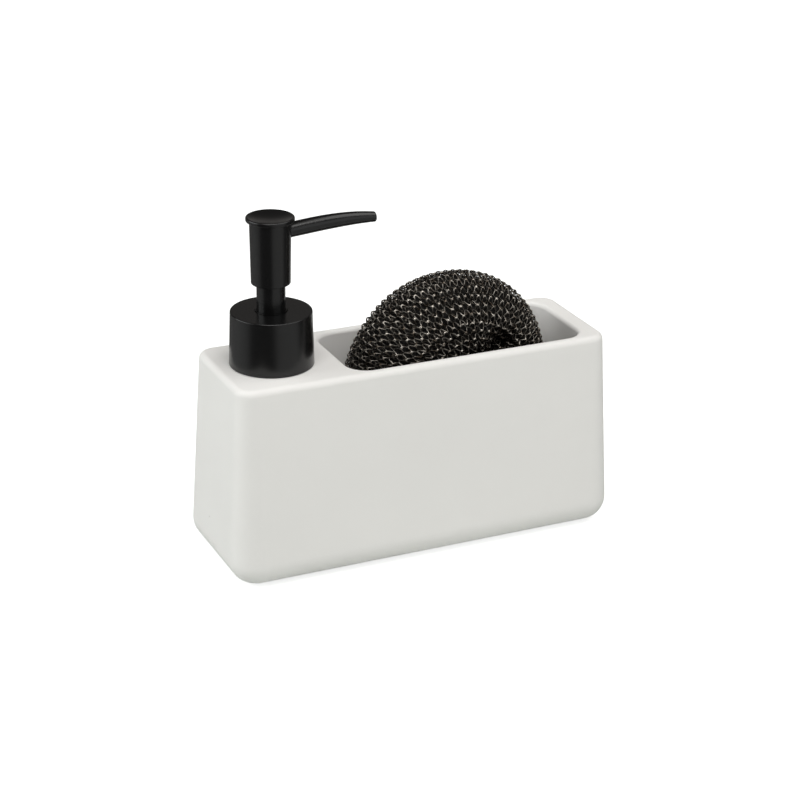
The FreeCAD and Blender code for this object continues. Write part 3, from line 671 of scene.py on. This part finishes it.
    def ribbon(self, layer: KnitLayer, loops: int, places: np.ndarray) -> tuple[np.ndarray, np.ndarray]:
        """Give the corners of the ribbon in courses that have the same number of loops.

        At phase t a course swings sideways by sin 2t and across to its neighbours by cos t. Every other
        course starts half a loop later, so that heads meet feet and leave open diamonds between them. All
        courses go in and out of the surface by the cosine of the phase without that start, so every other row
        of knots stands up. A flat four-cornered section follows that line, its broad side lying in the
        surface where the line crosses it and tilted at the heads and feet of the loops.

        Args:
            layer: the layer that they belong to.
            loops: loops in a course.
            places: the courses' places, as shares of the section's length.

        Returns:
            Points shaped (courses, steps, 4, 3), and the painted light mask: a painted highlight at a loop's
            top, painted shade at its dip.
        """
        count = (len(places), loops, layer.steps_per_loop)
        start = TURN / 2.0 * np.floor(places * layer.courses)
        ridge = np.linspace(0.0, TURN * loops, loops * layer.steps_per_loop, endpoint=False)
        phase = start[:, None] + ridge
        reach = layer.reach_share / layer.courses * (1.0 + self.loop_values(*count, layer.loop_spread_share))
        drift = self.loop_values(*count, layer.loop_spread_share / 2.0)
        turn = (ridge + layer.swing * np.sin(2.0 * ridge) + 2.0 * drift) / loops
        share = places[:, None] + reach * np.cos(phase) + drift / layer.courses
        lift = layer.weave * (np.cos(ridge) + drift) - layer.depth
        line = self.surface(turn, share, lift)
        up = self.outward(turn, share, lift)
        ahead = unit(np.roll(line, -1, axis=1) - np.roll(line, 1, axis=1))
        level = unit(np.cross(ahead, up))
        steep = np.cross(level, ahead)
        tilt = layer.tilt * np.cos(phase)[..., None]
        broad = level * np.cos(tilt) + steep * np.sin(tilt)
        thin = np.cross(broad, ahead)
        side = layer.ribbon_width / 2.0 * broad
        face = layer.ribbon_thickness / 2.0 * thin
        corners = np.stack([side + face, face - side, -side - face, side - face], axis=2)
        points = line[:, :, None, :] + corners
        # Painted light mask: one at each loop's top (painted highlight), falling to zero at its dip (painted
        # shade).
        crown_light = ((1.0 + np.cos(ridge)) / 2.0) ** layer.crown_light_power
        return points, np.broadcast_to(crown_light[:, None], points.shape[:-1])

    def knit(self, name: str, layer: KnitLayer, side: Side, finish: bpy.types.Material) -> bpy.types.Object:
        """Join the courses on one side of a layer into a piece, and store the painted light mask on its
        points.

        Args:
            name: the piece's name.
            layer: the layer.
            side: which half of it.
            finish: its material.

        Returns:
            The piece.
        """
        grids = [self.ribbon(layer, loops, places) for loops, places in self.courses(layer, side)]
        sizes = [crown_light.size for _, crown_light in grids]
        firsts = np.concatenate([[0], np.cumsum(sizes)[:-1]])
        points = np.concatenate([grid.reshape(-1, 3) for grid, _ in grids])
        quads = np.concatenate([wrapped_quads(*crown_light.shape).reshape(-1, 4) + first
                                for (_, crown_light), first in zip(grids, firsts)])
        piece = new_piece(name, points, quads, finish)
        light_mask = piece.data.attributes.new(CROWN_LIGHT, "FLOAT", "POINT")
        crown_lights = np.concatenate([crown_light.ravel() for _, crown_light in grids])
        light_mask.data.foreach_set("value", crown_lights.astype(np.float32))
        return piece

    def core(self) -> np.ndarray:
        """Give the points of the painted shade sheet inside, in place of the shaded tangle: the ring's
        surface, sunk and roughened.

        Returns:
            Points shaped as the core's grid, with a last axis of three.
        """
        rounds, rings = self.core_grid
        turn = np.linspace(0.0, TURN, rounds, endpoint=False)[:, None] + np.zeros((1, rings))
        share = np.linspace(0.0, 1.0, rings, endpoint=False)[None, :] + np.zeros((rounds, 1))
        rough = self.chance.normal(0.0, self.lump_height / 2.0, turn.shape)
        return self.surface(turn, share, rough - self.core_depth)

    def build(self) -> None:
        """Build the outer knit side by side, the layer under it in painted shade, and the painted shade sheet
        inside.
        """
        bright, shaded = KNITTED_WIRE.material(), SHADED_WIRE.material()
        pieces = []
        for side in Side:
            # The under layer wears the wire darkened as painted shade.
            for name, layer, finish in (("knit", self.outer, bright), ("under", self.inner, shaded)):
                pieces.append(self.knit(f"scourer_{name}_{side.value}", layer, side, finish))
        # The near-black sheet inside is painted shade for the tangle of wire.
        points = self.core()
        quads = wrapped_quads(*points.shape[:-1])
        pieces.append(new_piece("scourer_shade_sheet", points, quads, WIRE_SHADE.material()))
        for piece in pieces:
            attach(piece, "scourer")
            LOG.info("%s has %d faces", piece.name, len(piece.data.polygons))
        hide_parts("scourer")


@dataclass(frozen=True)
class Softbox:
    """One rectangular studio light that faces the object, placed by its direction from it in degrees."""

    name: str
    azimuth: float
    elevation: float
    distance: float
    size: tuple[float, float]
    watts: float
    colour: Colour = (0.975, 1.0, 0.995)

    def build(self, aim: Vector) -> None:
        """Hang the light at its place.

        Args:
            aim: the point that it is turned to.
        """
        light = bpy.data.lights.new(self.name, "AREA")
        light.shape = "RECTANGLE"
        light.size, light.size_y = self.size
        light.energy = self.watts
        light.color = self.colour
        lamp = bpy.data.objects.new(self.name, light)
        back = seen_from(math.radians(self.azimuth), math.radians(self.elevation))
        lamp.location = aim + back * self.distance
        lamp.rotation_euler = back.to_track_quat("Z", "Y").to_euler()
        bpy.context.scene.collection.objects.link(lamp)


def seen_from(azimuth: float, elevation: float) -> Vector:
    """Give the direction from the object to a viewer: azimuth 0 stands in front and turns to the right."""
    level = math.cos(elevation)
    return Vector((math.sin(azimuth) * level, -math.cos(azimuth) * level, math.sin(elevation)))


@dataclass
class Studio:
    """The white floor, the soft light and the camera.

    Each reflector card on the floor is a direction in degrees and a share of white.
    """

    azimuth: float = math.radians(-25.0)
    elevation: float = math.radians(23.2)
    roll: float = math.radians(0.79)
    distance: float = 0.9479
    aim: Point = (-0.00142, 0.0, 0.06338)
    lens: float = 96.2
    sensor: float = 36.0
    floor_half: float = 6.0
    floor_roughness: float = 0.5
    floor_colour: Colour = (0.72, 0.745, 0.725)
    floor_mirrored: float = 0.075
    floor_cards: tuple[tuple[float, float], ...] = ((-118.0, 0.22), (15.0, 0.42), (155.0, 0.6))
    card_spread: tuple[float, float] = (0.72, 0.90)
    floor_glow: float = 0.75
    floor_near: float = 0.5
    floor_far: float = 2.0
    sky_colour: Colour = (1.0, 0.945, 0.90)
    sky: float = 0.062
    backdrop: float = 0.20
    backdrop_top: float = 0.55
    backdrop_sides: tuple[float, float] = (-0.1, 0.5)
    sky_seen: float = 1.2
    softboxes: tuple[Softbox, ...] = (
        Softbox("left_panel", -108.0, 24.0, 1.4, (1.2, 1.0), 9.7),
        Softbox("right_panel", 27.0, 17.0, 1.4, (1.5, 1.0), 3.3),
        Softbox("top_panel", -25.0, 60.0, 1.3, (1.0, 0.8), 9.4, (0.995, 0.987, 0.968)),
        Softbox("right_fill", 75.0, 60.0, 1.3, (1.0, 0.8), 5.6, (0.995, 0.987, 0.968)),
    )

    def build(self) -> None:
        """Build the floor, the surroundings, the lights and the camera."""
        self.build_floor()
        self.build_surroundings()
        for softbox in self.softboxes:
            softbox.build(Vector(self.aim))
        self.build_camera()
        bpy.context.scene.view_settings.view_transform = "Standard"

    def build_floor(self) -> None:
        """Lay a wide square of white sweep that glows to the camera as a light table does, more so far off.

        Glossy surfaces see it dark, with a pale reflector card in some directions: a card's share goes from
        none to all as the cosine of the angle to its own direction passes through the spread.
        """
        made = bpy.data.materials.new("white_sweep")
        made.use_nodes = True
        kit = NodeKit(made.node_tree)
        shader = made.node_tree.nodes["Principled BSDF"]
        shader.inputs["Roughness"].default_value = self.floor_roughness
        shader.inputs["Emission Color"].default_value = (1.0, 1.0, 1.0, 1.0)
        place = kit.add("TexCoord").outputs["Object"]
        way = kit.add("VectorMath", {0: place}, operation="NORMALIZE")
        mirrored = self.floor_mirrored
        for azimuth, share in self.floor_cards:
            middle = seen_from(math.radians(azimuth), 0.0)
            facing = kit.add("VectorMath", {0: way.outputs["Vector"], 1: middle}, operation="DOT_PRODUCT")
            card = kit.add("MapRange", {"Value": facing.outputs["Value"], "From Min": self.card_spread[0],
                                        "From Max": self.card_spread[1], "To Max": share},
                           interpolation_type="SMOOTHSTEP")
            mirrored = kit.add("Math", {0: mirrored, 1: card.outputs["Result"]}, operation="ADD").outputs[0]
        path = kit.add("LightPath")
        tint = kit.add("Mix", {"Factor": path.outputs["Is Glossy Ray"], "A": (*self.floor_colour, 1.0),
                               "B": mirrored}, data_type="RGBA")
        kit.tree.links.new(tint.outputs["Result"], shader.inputs["Base Color"])
        away = kit.add("VectorMath", {0: place}, operation="LENGTH")
        glow = kit.add("MapRange", {"Value": away.outputs["Value"], "From Min": self.floor_near,
                                    "From Max": self.floor_far, "To Min": self.floor_glow})
        seen = kit.add("Math", {0: path.outputs["Is Camera Ray"], 1: glow.outputs["Result"]},
                       operation="MULTIPLY")
        kit.tree.links.new(seen.outputs[0], shader.inputs["Emission Strength"])
        side = self.floor_half
        corners = np.array([[-side, -side, 0.0], [side, -side, 0.0], [side, side, 0.0], [-side, side, 0.0]])
        new_piece("floor", corners, np.arange(4), made)

    def build_surroundings(self) -> None:
        """Surround the set with a dim sky that the camera sees as white.

        It is brighter low down at the back, where a backdrop stands that fades out towards its top and the
        front.
        """
        world = bpy.data.worlds.new("studio")
        world.use_nodes = True
        bpy.context.scene.world = world
        kit = NodeKit(world.node_tree)
        way = kit.add("SeparateXYZ", {"Vector": kit.add("TexCoord").outputs["Generated"]})
        fade = kit.add("MapRange", {"Value": way.outputs["Z"], "From Min": 0.0,
                                    "From Max": self.backdrop_top, "To Min": self.backdrop, "To Max": 0.0},
                       interpolation_type="SMOOTHSTEP")
        start, full = self.backdrop_sides
        behind = kit.add("MapRange", {"Value": way.outputs["Y"], "From Min": start, "From Max": full},
                         interpolation_type="SMOOTHSTEP")
        backdrop = kit.add("Math", {0: fade.outputs["Result"], 1: behind.outputs["Result"]},
                           operation="MULTIPLY")
        both = kit.add("Math", {0: backdrop.outputs[0], 1: self.sky}, operation="ADD")
        path = kit.add("LightPath")
        strength = kit.add("Mix", {"Factor": path.outputs["Is Camera Ray"], "A": both.outputs[0],
                                   "B": self.sky_seen})
        background = world.node_tree.nodes["Background"]
        background.inputs["Color"].default_value = (*self.sky_colour, 1.0)
        world.node_tree.links.new(strength.outputs["Result"], background.inputs["Strength"])

    def build_camera(self) -> None:
        """Place the camera: back from the aim along its view, rolled a little about it."""
        back = seen_from(self.azimuth, self.elevation)
        right = Vector((math.cos(self.azimuth), math.sin(self.azimuth), 0.0))
        up = back.cross(right)
        tilted_right = right * math.cos(self.roll) + up * math.sin(self.roll)
        tilted_up = up * math.cos(self.roll) - right * math.sin(self.roll)
        data = bpy.data.cameras.new("camera")
        data.sensor_width = self.sensor
        data.lens = self.lens
        camera = bpy.data.objects.new("camera", data)
        turned = Matrix((tilted_right, tilted_up, back)).transposed()
        camera.matrix_world = Matrix.Translation(Vector(self.aim) + back * self.distance) @ turned.to_4x4()
        bpy.context.scene.collection.objects.link(camera)
        bpy.context.scene.camera = camera


def main() -> None:
    """Build and dress the object, then the studio round it."""
    logging.basicConfig(level=logging.INFO, format="%(message)s")
    Tub().dress()
    pump = Pump(ReturnSpring())
    pump.dress()
    pump.build()
    Scourer().build()
    Studio().build()


if __name__ == "__main__":
    main()
